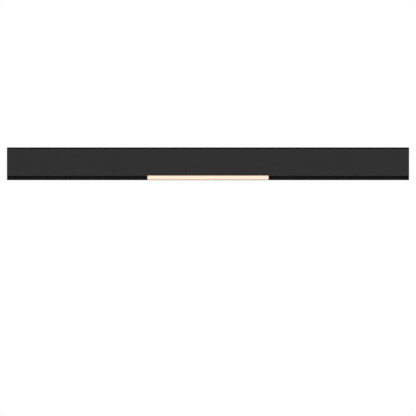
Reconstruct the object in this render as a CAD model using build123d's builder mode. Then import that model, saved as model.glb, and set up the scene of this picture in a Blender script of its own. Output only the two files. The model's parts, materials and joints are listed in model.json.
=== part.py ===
from build123d import *
import os

os.makedirs("parts", exist_ok=True)

# The bar hangs under a ceiling. X runs along it, Y from the front face (-) to the back (+), Z is up.
# The origin is the middle of the ceiling face, so the whole bar lies below z = 0. Sizes in millimetres.

# Bar and housing
bar_length = 1000.0  # over both end caps
bar_width = 34.0  # front face to back face
bar_height = 75.0  # ceiling face to the mouth of the slot
wall = 2.0  # side walls of the housing
web = 2.0  # floor between the wiring chamber and the slot
slot_depth = 43.5  # web down to the mouth
top_chamfer = 0.6  # on the housing's upper outer edges
lip_round = 0.4  # on the edges of the slot's mouth
port_size = 5.0  # square screw ports along the chamber's floor
port_radius = 1.1  # their holes

# Clearances
running_gap = 0.4  # between pieces that slide past each other
seat_gap = 0.1  # between pieces that are put together once
contact_gap = 0.1  # contact leaf to conductor
magnet_gap = 0.25  # magnet to keeper strip

# Mounting rail
rail_reveal = 4.8  # height of rail that shows above the housing
rail_inset = 1.5  # its flank stands this far behind the housing's face
rail_plate = 2.5
rail_leg = 1.4
snap_depth = 0.8  # snap rib on the housing's wall
snap_height = 1.5
snap_drop = 3.0  # housing's top edge to the snap rib
barb_height = 2.2
mount_inset = 100.0  # bar's end to a screw slot's middle
mount_slot_width = 4.5
mount_slot_length = 12.0

# Cable entry in the rail
cable_room = 45.0  # terminal block to cable hole
cable_hole = 7.0  # radius
grommet_bore = 4.5  # radius
grommet_flange = 2.0  # beyond the hole
grommet_flange_height = 1.0
grommet_sink = 0.2  # grommet below the ceiling face

# End caps
cap_thickness = 1.5
cap_relief = 0.2  # cap below the ceiling face
edge_chamfer = 0.4  # on cast and moulded edges
tongue_depth = 4.0  # tongue that keeps the slot's walls apart
tongue_height = 12.0
tongue_lift = 11.5  # above the mouth
cap_shank = 1.0  # radius
cap_screw_head = 2.2  # radius
cap_screw_length = 14.0

# Conductors and keeper strip
carrier_thickness = 4.5
carrier_height = 15.0
carrier_flange = 1.5  # its top edge reaches in to the keeper's lips
ledge_depth = 1.0  # ledge on the wall under the carrier
ledge_height = 1.2
conductor_width = 3.0
conductor_thickness = 1.2
conductor_recess = 0.4
conductor_spacing = 5.0  # upper conductor to lower
conductor_mouth = 2.6  # opening in front of each conductor
conductor_setback = 5.0  # from the housing's ends
keeper_side = 2.8  # room between the keeper's lips and the carriers
keeper_thickness = 1.0
lip_leg = 1.2  # lips that carry the keeper strip
lip_foot = 0.8
lip_overlap = 1.0

# Contact leaves
leaf_thickness = 0.4
leaf_height = 2.0
leaf_tip = 2.5  # half lengths along the bar
leaf_window = 7.6
leaf_root = 11.0
leaf_bend = 1.5

# Leads
lead_radius = 1.2
lead_bend = 5.0
fine_lead_radius = 0.6

# Live-end feed
feed_length = 48.0
feed_height = 13.0
feed_lead_offset = 2.4
feed_plug_depth = 4.0
feed_shank = 1.4  # radius
feed_screw_head = 2.8  # radius
feed_screw_spread = 34.0
bush_wall = 0.5  # around each lead
bush_flange = 1.5  # beyond its two necks
bush_flange_height = 1.0

# Driver in the wiring chamber
driver_room = 140.0  # bar's end to the driver, with the feed between them
driver_length = 210.0
driver_side = 0.7  # driver to the rail's legs
driver_rise = 0.6  # its height as a share of the chamber's
driver_wall = 1.5
driver_lid_thickness = 1.2
pad_thickness = 0.8
pad_width = 1.8
board_thickness = 1.6
boss_height = 2.5
boss_radius = 2.0
driver_plug_length = 8.0
driver_fill = 0.75  # components' share of the room above the board

# Mains terminal
terminal_room = 65.0  # driver's end to the terminal's middle
terminal_length = 26.0
terminal_width = 21.0
terminal_height = 13.0
terminal_base = 3.0  # plate against the rail
terminal_wall = 1.2  # around lead bores and screws
terminal_pitch = 6.5
terminal_bore = 1.6  # radius
terminal_bore_depth = 9.0
terminal_shank = 1.5  # radius
earth_room = 24.0  # driver's end to the earth screw
earth_shank = 1.5  # radius
earth_screw_head = 3.0  # radius
lug_thickness = 0.8
lug_radius = 4.0
barrel_length = 7.0

# Light module
lit_length = 300.5
end_plate = 2.0
end_plate_shank = 0.9  # radius
end_plate_screw_head = 1.7  # radius
diffuser_recess = 0.3  # above the mouth
diffuser_height = 8.0
diffuser_wall = 1.4
diffuser_floor = 1.8
diffuser_round = 1.2
bead_depth = 0.5  # snap bead inside the diffuser's legs
bead_height = 1.2
bead_drop = 1.8
skirt = 1.5  # part of the housing inside the diffuser's legs
skirt_lift = 2.0  # above the diffuser's floor
module_wall = 1.6
module_plate = 2.0
module_port_size = 4.0
module_port_radius = 1.0
shelf = 2.0
cavity_height = 8.3  # for the converter
led_count = 42
led_length = 3.5
led_width = 2.8
led_height = 0.8
led_shank = 1.0  # radius
led_screw_head = 2.0  # radius
led_screw_inset = 3.6  # from the skirts
converter_length = 120.0
converter_lift = 2.0  # above the shelf

# Adapter between the conductors
adapter_length = 160.0
adapter_wall = 1.6
adapter_lid_thickness = 1.6
magnet_length = 24.0
magnet_side = 0.6  # magnet to the keeper's lips
magnet_height = 7.0
magnet_inset = 4.0  # from the adapter's end
contact_x = 30.0
adapter_shank = 1.1  # radius
adapter_screw_head = 2.2  # radius
adapter_screw_spread = 12.0

# Levels and half widths that the pieces share
housing_half = bar_length / 2 - cap_thickness
slot_half = bar_width / 2 - wall
housing_top = -rail_reveal
mouth = -bar_height
web_bottom = mouth + slot_depth
web_top = web_bottom + web
chamber_depth = housing_top - web_top
mount_pitch = bar_length - 2 * mount_inset
tongue_bottom = mouth + tongue_lift
port_y = slot_half - port_size / 2
port_z = web_top + port_size / 2
rail_half = bar_width / 2 - rail_inset
leg_outer = slot_half - snap_depth - seat_gap
leg_inner = leg_outer - rail_leg
snap_bottom = housing_top - snap_drop - snap_height
carrier_inner = slot_half - carrier_thickness
lip_outer = carrier_inner - keeper_side
lip_inner = lip_outer - lip_leg
keeper_width = 2 * (lip_inner - seat_gap)
keeper_top = web_bottom - seat_gap
keeper_bottom = keeper_top - keeper_thickness
lip_bottom = keeper_bottom - lip_foot
carrier_top = web_bottom - seat_gap
carrier_bottom = carrier_top - carrier_height
conductor_face = carrier_inner + conductor_recess
conductor_back = conductor_face + conductor_thickness
flange_bottom = carrier_top - carrier_flange
conductor_mid = (flange_bottom + carrier_bottom) / 2
upper_z = conductor_mid + conductor_spacing / 2
lower_z = conductor_mid - conductor_spacing / 2
feed_x = -housing_half + feed_length / 2 + seat_gap
bush_bore = lead_radius + seat_gap
bush_neck = bush_bore + bush_wall
module_half = slot_half - running_gap
ledge_bottom = carrier_bottom - ledge_height
module_top = ledge_bottom - running_gap
module_bottom = mouth + diffuser_recess
module_inner = module_half - module_wall
skirt_outer = module_half - diffuser_wall - seat_gap
skirt_inner = skirt_outer - skirt
diffuser_top = module_bottom + diffuser_height
diffuser_inside = module_bottom + diffuser_floor
shoulder_top = diffuser_top + module_wall
skirt_bottom = diffuser_inside + skirt_lift
bead_top = diffuser_top - bead_drop
bead_bottom = bead_top - bead_height
cavity_top = module_top - module_plate
shelf_top = cavity_top - cavity_height
led_board_top = shelf_top - shelf
led_board_bottom = led_board_top - board_thickness
led_pitch = lit_length / (led_count + 1)
led_screw_y = skirt_inner - led_screw_inset
converter_bottom = shelf_top + converter_lift
converter_top = converter_bottom + board_thickness
module_port_y = module_inner - module_port_size / 2
module_port_z = cavity_top - module_port_size / 2
adapter_half = carrier_inner - running_gap
adapter_top = lip_bottom - running_gap
adapter_case_top = adapter_top - adapter_lid_thickness
magnet_x = adapter_length / 2 - magnet_inset - magnet_length / 2
magnet_width = 2 * (lip_inner - lip_overlap - magnet_side)
magnet_top = keeper_bottom - magnet_gap
magnet_bottom = magnet_top - magnet_height
leaf_root_y = adapter_half - adapter_wall - leaf_thickness / 2 - seat_gap
leaf_tip_y = conductor_face - contact_gap - leaf_thickness / 2
contact_lead_x = leaf_root - fine_lead_radius
contact_lead_y = leaf_root_y - leaf_thickness / 2 - fine_lead_radius - seat_gap / 2
driver_x = driver_room + driver_length / 2 - bar_length / 2
driver_width = 2 * (leg_inner - driver_side)
driver_height = driver_rise * chamber_depth
driver_bottom = web_top + port_size + pad_thickness
driver_lid_bottom = driver_bottom + driver_height - driver_lid_thickness
driver_board_bottom = driver_bottom + driver_wall + boss_height
driver_board_top = driver_board_bottom + board_thickness
driver_plug_height = driver_fill * (driver_lid_bottom - driver_board_top)
driver_lead_z = driver_board_top + driver_plug_height / 2
driver_left = driver_x - driver_length / 2
driver_right = driver_x + driver_length / 2
driver_plug_x = driver_length / 2 - driver_wall - driver_plug_length / 2 - seat_gap
terminal_x = driver_right + terminal_room
earth_x = driver_right + earth_room
cable_x = terminal_x + cable_room
terminal_lead_z = -rail_plate - terminal_height / 2
terminal_left = terminal_x - terminal_length / 2
sides = (-1, 1)


def write(piece, name):
    """Label a finished piece and write it as its own STEP file."""
    piece.part.label = name
    export_step(piece.part, f"parts/{name}.step")


def strip(y_a, y_b, z_a, z_b, mode=Mode.ADD):
    """A rectangle of a cross-section between two corners."""
    with Locations(((y_a + y_b) / 2, (z_a + z_b) / 2)):
        Rectangle(abs(y_b - y_a), abs(z_b - z_a), mode=mode)


def screw(seat, head, shank, length, head_height=0.0):
    """A turned screw whose head bears on a plane; without a head height it is countersunk."""
    profile_plane = Plane(seat.origin, x_dir=seat.x_dir, z_dir=seat.y_dir)
    with BuildSketch(profile_plane) as profile:
        with BuildLine():
            if head_height:
                Polyline((0, -head_height), (0.7 * head, -head_height), (head, -0.5 * head_height),
                         (head, 0), (shank, 0), (shank, length), (0, length), close=True)
            else:
                Polyline((0, 0), (head, 0), (shank, head - shank), (shank, length), (0, length), close=True)
        make_face()
    revolve(profile.sketch, axis=Axis(seat.origin, seat.z_dir))


def leaf(x, side, z):
    """A bowed contact leaf that reaches out to a conductor."""
    root = side * leaf_root_y
    tip = side * leaf_tip_y
    with BuildSketch(Plane.XY.offset(z)) as bow:
        with BuildLine():
            FilletPolyline((x - leaf_root, root), (x - leaf_window, root), (x - leaf_tip, tip),
                           (x + leaf_tip, tip), (x + leaf_window, root), (x + leaf_root, root),
                           radius=leaf_bend)
        trace(line_width=leaf_thickness)
    extrude(bow.sketch, amount=leaf_height / 2, both=True)


def lead(points):
    """A round lead along straight runs joined by bends."""
    with BuildLine() as route:
        FilletPolyline(*points, radius=lead_bend)
    with BuildSketch(Plane(route.line @ 0, z_dir=route.line % 0)) as core:
        Circle(lead_radius)
    sweep(core.sketch, path=route.line)


# Mounting rail: plate and flanks show as the shadow line, the barbed legs hook under the housing's ribs
with BuildPart() as mounting_rail:
    with BuildSketch(Plane.YZ):
        strip(-rail_half, rail_half, 0, housing_top)
        strip(-leg_inner, leg_inner, -rail_plate, housing_top, Mode.SUBTRACT)
        for side in sides:
            strip(side * leg_inner, side * leg_outer, housing_top, snap_bottom - barb_height)
            Polygon((side * leg_outer, snap_bottom), (side * (slot_half - 2 * seat_gap), snap_bottom),
                    (side * leg_outer, snap_bottom - barb_height), align=None)
    extrude(amount=housing_half, both=True)
    with BuildSketch(Plane.XY):
        with GridLocations(mount_pitch, 1, 2, 1):
            SlotOverall(mount_slot_length, mount_slot_width)
    extrude(amount=-rail_plate, mode=Mode.SUBTRACT)
    with Locations((cable_x, 0, 0)):
        CounterBoreHole(cable_hole, cable_hole + grommet_flange + seat_gap,
                        grommet_sink + grommet_flange_height)
    with Locations((terminal_x, 0, 0)):
        CounterSinkHole(cap_shank + 2 * seat_gap, cap_screw_head + seat_gap, counter_sink_angle=90)
write(mounting_rail, "mounting_rail")

# Cable grommet: a ring with a groove that grips the rail's plate
with BuildPart() as cable_grommet:
    with BuildSketch(Plane.XZ):
        strip(grommet_bore, cable_hole - seat_gap, -grommet_sink, -rail_plate - 2 * grommet_flange_height)
        strip(grommet_bore, cable_hole + grommet_flange, -grommet_sink,
              -grommet_sink - grommet_flange_height)
        Polygon((grommet_bore, -rail_plate), (cable_hole + grommet_flange, -rail_plate),
                (cable_hole, -rail_plate - 2 * grommet_flange_height),
                (grommet_bore, -rail_plate - 2 * grommet_flange_height), align=None)
    revolve(axis=Axis.Z)
cable_grommet.part.position = (cable_x, 0, 0)
write(cable_grommet, "cable_grommet")

# Housing: one extrusion with the wiring chamber above the web and the slot below it
with BuildPart() as track_housing:
    with BuildSketch(Plane.YZ) as section:
        strip(-bar_width / 2, bar_width / 2, housing_top, mouth)
        strip(-slot_half, slot_half, housing_top, web_top, Mode.SUBTRACT)
        strip(-slot_half, slot_half, web_bottom, mouth, Mode.SUBTRACT)
        fillet(section.vertices().group_by(Axis.Y)[0], lip_round)
        rim = section.vertices().group_by(Axis.Y)[-1].sort_by(Axis.X)
        chamfer([rim[0], rim[-1]], top_chamfer)
        for side in sides:
            strip(side * slot_half, side * (slot_half - port_size), web_top, web_top + port_size)
            strip(side * slot_half, side * (slot_half - snap_depth), housing_top - snap_drop, snap_bottom)
            strip(side * slot_half, side * (slot_half - ledge_depth), carrier_bottom, ledge_bottom)
            strip(side * lip_inner, side * lip_outer, web_bottom, lip_bottom)
            strip(side * (lip_inner - lip_overlap), side * lip_inner, keeper_bottom, lip_bottom)
        with Locations((-port_y, port_z), (port_y, port_z)):
            Circle(port_radius, mode=Mode.SUBTRACT)
    extrude(amount=housing_half, both=True)
    with Locations((feed_x, 0, web_top)):
        with GridLocations(1, 2 * feed_lead_offset, 1, 2):
            Hole(bush_neck + seat_gap, depth=web)
        with GridLocations(feed_screw_spread, 1, 2, 1):
            Hole(feed_shank + seat_gap, depth=web)
    with Locations((earth_x, 0, web_top)):
        Hole(earth_shank + seat_gap, depth=web)
write(track_housing, "track_housing")

# End caps: thin plate in the outline of housing and rail, with a tongue in the slot
for side, name in zip(sides, ("end_cap_left", "end_cap_right")):
    with BuildPart() as end_cap:
        with BuildSketch(Plane.YZ.offset(side * housing_half)):
            strip(-bar_width / 2, bar_width / 2, housing_top, mouth)
            strip(-rail_half, rail_half, -cap_relief, housing_top)
        extrude(amount=side * cap_thickness)
        outer_face = end_cap.faces().sort_by(Axis((0, 0, 0), (side, 0, 0)))[-1]
        chamfer(outer_face.edges(), edge_chamfer)
        with BuildSketch(Plane.YZ.offset(side * housing_half)):
            strip(seat_gap - slot_half, slot_half - seat_gap, tongue_bottom, tongue_bottom + tongue_height)
        extrude(amount=-side * tongue_depth)
        for y in (-port_y, port_y):
            with Locations(Plane((side * bar_length / 2, y, port_z), z_dir=(side, 0, 0))):
                CounterSinkHole(cap_shank + 2 * seat_gap, cap_screw_head + seat_gap, 2 * cap_thickness, 90)
    write(end_cap, name)

# End cap screws: two countersunk screws at each end
with BuildPart() as end_cap_screws:
    for side in sides:
        for y in (-port_y, port_y):
            screw(Plane((side * bar_length / 2, y, port_z), z_dir=(side, 0, 0)),
                  cap_screw_head, cap_shank, cap_screw_length)
write(end_cap_screws, "end_cap_screws")

# Keeper strip: slides into the lips under the web, from the feed to the far end
with BuildPart() as keeper_strip:
    with BuildSketch(Plane.YZ.offset(feed_x + feed_length / 2)):
        strip(-keeper_width / 2, keeper_width / 2, keeper_top, keeper_bottom)
    extrude(amount=housing_half - feed_x - feed_length / 2)
write(keeper_strip, "keeper_strip")

# Conductor carriers: insulating profiles on the ledges, with two undercut grooves each
for side, name in zip(sides, ("carrier_front", "carrier_back")):
    with BuildPart() as carrier:
        with BuildSketch(Plane.YZ):
            strip(side * carrier_inner, side * (slot_half - seat_gap), carrier_top, carrier_bottom)
            strip(side * (lip_outer + seat_gap), side * carrier_inner, carrier_top, flange_bottom)
            for z in (upper_z, lower_z):
                groove_half = conductor_width / 2 + seat_gap
                mouth_half = conductor_mouth / 2
                strip(side * conductor_face, side * conductor_back, z - groove_half, z + groove_half,
                      Mode.SUBTRACT)
                strip(side * carrier_inner, side * conductor_face, z - mouth_half, z + mouth_half,
                      Mode.SUBTRACT)
        extrude(amount=housing_half - seat_gap, both=True)
    write(carrier, name)

# Conductors: copper strips in the carriers' grooves, supply above and data below
for z, name in ((upper_z, "supply_conductors"), (lower_z, "data_conductors")):
    with BuildPart() as conductors:
        with BuildSketch(Plane.YZ):
            for side in sides:
                with Locations((side * (conductor_face + conductor_back) / 2, z)):
                    Rectangle(conductor_thickness, conductor_width)
        extrude(amount=housing_half - conductor_setback, both=True)
    write(conductors, name)

# Live-end feed: block between the carriers with recesses for its contact leaves
feed_recess_y = leaf_root_y - leaf_thickness / 2
feed_head_seat = lip_bottom - feed_height + feed_screw_head
with BuildPart() as feed_connector:
    with BuildSketch(Plane.XY.offset(lip_bottom)):
        with Locations((feed_x, 0)):
            Rectangle(feed_length - 2 * seat_gap, 2 * adapter_half)
    extrude(amount=-feed_height)
    chamfer(feed_connector.edges().group_by(Axis.Z)[0], edge_chamfer)
    for side in sides:
        with BuildSketch(Plane.XY.offset(upper_z + leaf_height / 2 + seat_gap)):
            with Locations((feed_x, side * (feed_recess_y + adapter_half) / 2)):
                Rectangle(2 * (leaf_root + seat_gap), adapter_half - feed_recess_y)
        extrude(amount=lower_z - upper_z - leaf_height - 2 * seat_gap, mode=Mode.SUBTRACT)
        with Locations((feed_x, side * feed_lead_offset, lip_bottom)):
            Hole(lead_radius + seat_gap, depth=feed_plug_depth)
    with Locations((feed_x, 0, lip_bottom - feed_height)):
        with GridLocations(feed_screw_spread, 1, 2, 1):
            Hole(feed_screw_head + 2 * seat_gap, depth=feed_screw_head)
            Hole(feed_shank + 2 * seat_gap)
write(feed_connector, "feed_connector")

# Feed contacts: one leaf for each conductor
with BuildPart() as feed_contacts:
    for side in sides:
        for z in (upper_z, lower_z):
            leaf(feed_x, side, z)
write(feed_contacts, "feed_contacts")

# Feed screws: through the feed block into the web
with BuildPart() as feed_screws:
    for side in sides:
        screw(Plane((feed_x + side * feed_screw_spread / 2, 0, feed_head_seat), z_dir=(0, 0, -1)),
              feed_screw_head, feed_shank, web_top - feed_head_seat, feed_shank)
write(feed_screws, "feed_screws")

# Lead bush: one neck around each feed lead where it passes the web, under a common flange
with BuildPart() as lead_bush:
    with BuildSketch(Plane.XY.offset(web_top)):
        with Locations((feed_x, 0)):
            SlotCenterToCenter(2 * feed_lead_offset, 2 * (bush_neck + bush_flange), rotation=90)
    extrude(amount=bush_flange_height)
    with BuildSketch(Plane.XY.offset(web_top)):
        with Locations((feed_x, 0)):
            with GridLocations(1, 2 * feed_lead_offset, 1, 2):
                Circle(bush_neck)
    extrude(amount=-web)
    with Locations((feed_x, 0, web_top)):
        with GridLocations(1, 2 * feed_lead_offset, 1, 2):
            Hole(bush_bore)
write(lead_bush, "lead_bush")

# Feed leads: from the driver's output along the chamber and down into the feed block
with BuildPart() as feed_leads:
    for side in sides:
        y = side * feed_lead_offset
        lead([(driver_x - driver_plug_x - driver_plug_length / 2, y, driver_lead_z),
              (feed_x, y, driver_lead_z), (feed_x, y, lip_bottom - feed_plug_depth)])
write(feed_leads, "feed_leads")

# Driver pads: adhesive strips on the screw ports
with BuildPart() as driver_pads:
    with BuildSketch(Plane.XY.offset(web_top + port_size)):
        with Locations((driver_x, 0)):
            with GridLocations(1, driver_width - pad_width, 1, 2):
                Rectangle(driver_length - 4 * pad_width, pad_width)
    extrude(amount=pad_thickness)
write(driver_pads, "driver_pads")

# Driver case: open tray with bosses for the board and lead holes in its end walls
inner_length = driver_length - 2 * driver_wall
inner_width = driver_width - 2 * driver_wall
with BuildPart() as driver_case:
    with BuildSketch(Plane.XY.offset(driver_bottom)):
        with Locations((driver_x, 0)):
            RectangleRounded(driver_length, driver_width, driver_wall)
    extrude(amount=driver_height - driver_lid_thickness)
    with BuildSketch(Plane.XY.offset(driver_bottom + driver_wall)):
        with Locations((driver_x, 0)):
            Rectangle(inner_length, inner_width)
    extrude(amount=driver_height, mode=Mode.SUBTRACT)
    with BuildSketch(Plane.XY.offset(driver_bottom + driver_wall)):
        with Locations((driver_x, 0)):
            with GridLocations(inner_length - 6 * boss_radius, inner_width - 3 * boss_radius, 2, 2):
                Circle(boss_radius)
    extrude(amount=boss_height)
    for y in (-feed_lead_offset, feed_lead_offset):
        with Locations(Plane((driver_left, y, driver_lead_z), z_dir=(-1, 0, 0))):
            Hole(lead_radius + 2 * seat_gap, depth=driver_wall)
    for y in (-terminal_pitch, terminal_pitch):
        with Locations(Plane((driver_right, y, driver_lead_z), z_dir=(1, 0, 0))):
            Hole(lead_radius + 2 * seat_gap, depth=driver_wall)
write(driver_case, "driver_case")

# Driver lid: plate on the tray with a rim inside it
with BuildPart() as driver_lid:
    with BuildSketch(Plane.XY.offset(driver_lid_bottom)):
        with Locations((driver_x, 0)):
            RectangleRounded(driver_length, driver_width, driver_wall)
    extrude(amount=driver_lid_thickness)
    with BuildSketch(Plane.XY.offset(driver_lid_bottom)):
        with Locations((driver_x, 0)):
            Rectangle(inner_length - 2 * seat_gap, inner_width - 2 * seat_gap)
            Rectangle(inner_length - 2 * driver_wall, inner_width - 2 * driver_wall, mode=Mode.SUBTRACT)
    extrude(amount=-driver_lid_thickness)
write(driver_lid, "driver_lid")

# Driver board: on the tray's bosses
with BuildPart() as driver_board:
    with BuildSketch(Plane.XY.offset(driver_board_bottom)):
        with Locations((driver_x, 0)):
            Rectangle(inner_length - 2 * seat_gap, inner_width - 2 * seat_gap)
    extrude(amount=board_thickness)
write(driver_board, "driver_board")

# Driver components: two lead plugs, transformer, choke and capacitors
with BuildPart() as driver_components:
    with BuildSketch(Plane.XY.offset(driver_board_top)):
        with Locations((driver_x, 0)):
            with GridLocations(2 * driver_plug_x, 1, 2, 1):
                Rectangle(driver_plug_length, 0.9 * inner_width)
            with GridLocations(0.3 * driver_length, 1, 2, 1):
                Rectangle(inner_width, 0.7 * inner_width)
            with GridLocations(0.6 * driver_length, 0.5 * inner_width, 2, 2):
                Circle(0.2 * inner_width)
    extrude(amount=driver_plug_height)
write(driver_components, "driver_components")

# Terminal block: plate under the rail with three barrels for the leads and a tower for each screw
poles = (-terminal_pitch, 0, terminal_pitch)
barrel_radius = terminal_bore + terminal_wall
with BuildPart() as terminal_block:
    with BuildSketch(Plane.YZ.offset(terminal_left)):
        strip(-terminal_width / 2, terminal_width / 2, -rail_plate, -rail_plate - terminal_base)
        for y in poles:
            strip(y - barrel_radius, y + barrel_radius, -rail_plate, terminal_lead_z)
            with Locations((y, terminal_lead_z)):
                Circle(barrel_radius)
    extrude(amount=terminal_length)
    with BuildSketch(Plane.XY.offset(terminal_lead_z)):
        with Locations((terminal_x, 0)):
            with GridLocations(2 * terminal_pitch, terminal_pitch, 2, 3):
                Circle(terminal_shank + seat_gap + terminal_wall)
    extrude(amount=-terminal_height / 2)
    for y in poles:
        for side in sides:
            flank = terminal_x + side * terminal_length / 2
            with Locations(Plane((flank, y, terminal_lead_z), z_dir=(side, 0, 0))):
                Hole(terminal_bore, depth=terminal_bore_depth)
            with Locations((terminal_x + side * terminal_pitch, y, -rail_plate - terminal_height)):
                Hole(terminal_shank + seat_gap, depth=terminal_height / 2)
    with Locations((terminal_x, 0, -rail_plate)):
        Hole(cap_shank + seat_gap, depth=terminal_height / 2)
write(terminal_block, "terminal_block")

# Terminal fixing screw: countersunk in the rail's top
with BuildPart() as terminal_fixing_screw:
    screw(Plane((terminal_x, 0, 0)), cap_screw_head, cap_shank, terminal_height / 2)
write(terminal_fixing_screw, "terminal_fixing_screw")

# Terminal screws: one on each side of each pole, driven from below
with BuildPart() as terminal_screws:
    with BuildSketch(Plane.XY.offset(terminal_lead_z - lead_radius - seat_gap)):
        with Locations((terminal_x, 0)):
            with GridLocations(2 * terminal_pitch, terminal_pitch, 2, 3):
                Circle(terminal_shank)
    extrude(amount=lead_radius + 2 * seat_gap - terminal_height / 2)
write(terminal_screws, "terminal_screws")

# Mains leads: live and neutral from the terminal block to the driver
mains_end = driver_x + driver_plug_x + driver_plug_length / 2
mains_slope = (terminal_left - driver_right) / 3
with BuildPart() as mains_leads:
    for y in (-terminal_pitch, terminal_pitch):
        lead([(terminal_left + terminal_bore_depth - 2 * seat_gap, y, terminal_lead_z),
              (terminal_left - mains_slope, y, terminal_lead_z),
              (driver_right + mains_slope, y, driver_lead_z), (mains_end, y, driver_lead_z)])
write(mains_leads, "mains_leads")

# Earth lug: ring under the screw's head with a crimped barrel
barrel_z = web_top + lead_radius + lug_thickness
with BuildPart() as earth_lug:
    with BuildSketch(Plane.XY.offset(web_top)):
        with Locations((earth_x, 0)):
            Circle(lug_radius)
            with Locations((lug_radius + barrel_length / 2, 0)):
                Rectangle(barrel_length + lug_radius, 2 * lead_radius)
            Circle(earth_shank + seat_gap, mode=Mode.SUBTRACT)
    extrude(amount=lug_thickness)
    with BuildSketch(Plane.YZ.offset(earth_x + lug_radius + lug_thickness)):
        with Locations((0, barrel_z)):
            Circle(lead_radius + lug_thickness)
            Circle(lead_radius + seat_gap, mode=Mode.SUBTRACT)
    extrude(amount=barrel_length)
write(earth_lug, "earth_lug")

# Earth screw: clamps the lug to the web
with BuildPart() as earth_screw:
    screw(Plane((earth_x, 0, web_top + lug_thickness)), earth_screw_head, earth_shank,
          web + lug_thickness, earth_shank)
write(earth_screw, "earth_screw")

# Earth lead: from the lug up to the middle pole
earth_lead_x = (earth_x + lug_radius + barrel_length + terminal_left) / 2
with BuildPart() as earth_lead:
    lead([(earth_x + lug_radius + 2 * lug_thickness, 0, barrel_z), (earth_lead_x, 0, barrel_z),
          (earth_lead_x, 0, terminal_lead_z),
          (terminal_left + terminal_bore_depth - 2 * seat_gap, 0, terminal_lead_z)])
write(earth_lead, "earth_lead")

# Module housing: extrusion with a converter cavity, a shelf for the diodes and skirts for the diffuser
with BuildPart() as module_housing:
    with BuildSketch(Plane.YZ):
        strip(-module_half, module_half, module_top, diffuser_top + seat_gap)
        strip(-module_inner, module_inner, cavity_top, shelf_top, Mode.SUBTRACT)
        strip(-module_inner, module_inner, led_board_top, shoulder_top, Mode.SUBTRACT)
        strip(-skirt_inner, skirt_inner, shoulder_top, diffuser_top, Mode.SUBTRACT)
        for side in sides:
            strip(side * skirt_inner, side * skirt_outer, shoulder_top, skirt_bottom)
            strip(side * skirt_outer, side * (skirt_outer - bead_depth), bead_top + seat_gap,
                  bead_bottom - seat_gap, Mode.SUBTRACT)
            strip(side * module_inner, side * (module_inner - module_wall), shelf_top, converter_bottom)
            strip(side * module_inner, side * (module_inner - module_port_size), cavity_top,
                  cavity_top - module_port_size)
        with Locations((-module_port_y, module_port_z), (module_port_y, module_port_z)):
            Circle(module_port_radius, mode=Mode.SUBTRACT)
    extrude(amount=lit_length / 2, both=True)
    for x, side in ((-contact_x, -1), (-contact_x, 1), (contact_x, -1), (contact_x, 1)):
        with Locations((x + contact_lead_x, side * contact_lead_y, module_top)):
            Hole(fine_lead_radius + 4 * seat_gap, depth=module_plate)
    with Locations((-magnet_x, 0, module_top), (magnet_x, 0, module_top)):
        with GridLocations(adapter_screw_spread, 1, 2, 1):
            Hole(adapter_shank + seat_gap, depth=module_plate)
    with Locations((0, 0, shelf_top)):
        with GridLocations(converter_length / 2, 1, 2, 1):
            Hole(fine_lead_radius + 4 * seat_gap, depth=shelf)
        with GridLocations(lit_length / 3, 2 * led_screw_y, 3, 2):
            Hole(led_shank + seat_gap, depth=shelf)
write(module_housing, "module_housing")

# Diffuser: opal trough whose beads snap into the skirts' grooves
with BuildPart() as diffuser:
    with BuildSketch(Plane.YZ) as trough:
        strip(-module_half, module_half, diffuser_top, module_bottom)
        fillet(trough.vertices().group_by(Axis.Y)[0], diffuser_round)
        bead_outer = module_half - diffuser_wall
        strip(-bead_outer, bead_outer, diffuser_top, diffuser_inside, Mode.SUBTRACT)
        for side in sides:
            strip(side * bead_outer, side * (bead_outer - bead_depth), bead_top, bead_bottom)
    extrude(amount=lit_length / 2, both=True)
write(diffuser, "diffuser")

# Module end plates: close housing and diffuser
for side, name in zip(sides, ("module_end_left", "module_end_right")):
    with BuildPart() as module_end:
        with BuildSketch(Plane.YZ.offset(side * lit_length / 2)) as outline:
            strip(-module_half, module_half, module_top, module_bottom)
            fillet(outline.vertices().group_by(Axis.Y)[0], diffuser_round)
        extrude(amount=side * end_plate)
        outer_face = module_end.faces().sort_by(Axis((0, 0, 0), (side, 0, 0)))[-1]
        chamfer(outer_face.edges(), edge_chamfer)
        outer_x = side * (lit_length / 2 + end_plate)
        for y in (-module_port_y, module_port_y):
            with Locations(Plane((outer_x, y, module_port_z), z_dir=(side, 0, 0))):
                CounterSinkHole(end_plate_shank + seat_gap, end_plate_screw_head + seat_gap,
                                2 * end_plate, 90)
    write(module_end, name)

# Module end screws: two at each end
with BuildPart() as module_end_screws:
    for side in sides:
        for y in (-module_port_y, module_port_y):
            screw(Plane((side * (lit_length / 2 + end_plate), y, module_port_z), z_dir=(side, 0, 0)),
                  end_plate_screw_head, end_plate_shank, 5 * end_plate)
write(module_end_screws, "module_end_screws")

# Diode board: flat under the shelf
with BuildPart() as led_board:
    with BuildSketch(Plane.XY.offset(led_board_bottom)):
        Rectangle(lit_length - 2 * end_plate, 2 * (skirt_inner - running_gap))
        with GridLocations(lit_length / 3, 2 * led_screw_y, 3, 2):
            Circle(led_shank + seat_gap, mode=Mode.SUBTRACT)
    extrude(amount=board_thickness)
write(led_board, "led_board")

# Diodes: one row along the board
with BuildPart() as led_packages:
    with BuildSketch(Plane.XY.offset(led_board_bottom)):
        with GridLocations(led_pitch, 1, led_count, 1):
            Rectangle(led_length, led_width)
    extrude(amount=-led_height)
write(led_packages, "led_packages")

# Diode board screws: from below into the shelf
with BuildPart() as led_board_screws:
    for x in (-lit_length / 3, 0, lit_length / 3):
        for side in sides:
            screw(Plane((x, side * led_screw_y, led_board_bottom), z_dir=(0, 0, -1)),
                  led_screw_head, led_shank, board_thickness + shelf, led_shank)
write(led_board_screws, "led_board_screws")

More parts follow.
